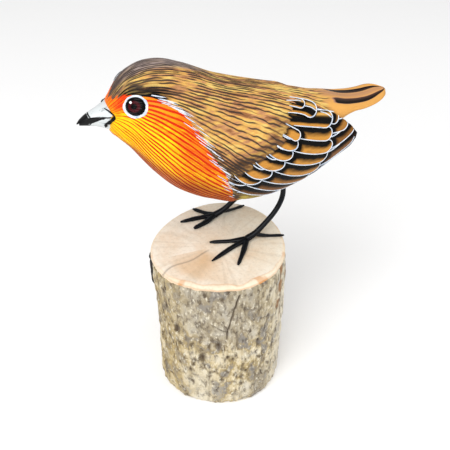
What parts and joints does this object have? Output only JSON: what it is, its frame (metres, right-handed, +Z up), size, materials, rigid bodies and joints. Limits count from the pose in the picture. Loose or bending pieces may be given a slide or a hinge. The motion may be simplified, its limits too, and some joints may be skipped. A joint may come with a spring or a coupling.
{
  "type": "carved painted wooden robin on a log base",
  "caption": "Hand-carved, hand-painted wooden robin ornament on bent wire legs, standing on a short sawn log that is its base.",
  "frame": {"origin": "middle of the log's flat underside, where the ornament rests", "axes": "+Z up, -X the way the beak points, -Y the bird's left side"},
  "size_m": [0.1298, 0.0629, 0.1613],
  "materials": {
    "painted_body": "hand-painted, satin varnish",
    "painted_wing": "hand-painted, satin varnish",
    "painted_beak": "hand-painted, satin varnish",
    "eye": "gloss",
    "wire": "satin black paint",
    "log": "sawn and stripped, matt",
    "bark": "matt"
  },
  "bodies": {
    "root": {"head": "painted_body", "trunk": "painted_body", "tail": "painted_body", "wing_left": "painted_wing", "wing_right": "painted_wing", "beak_upper": "painted_beak", "beak_lower": "painted_beak", "eye_left": "eye", "eye_right": "eye", "leg_left": "wire", "leg_right": "wire", "foot_left": "wire", "foot_right": "wire", "log": "log", "bark_flake": "bark"}
  },
  "joints": []
}
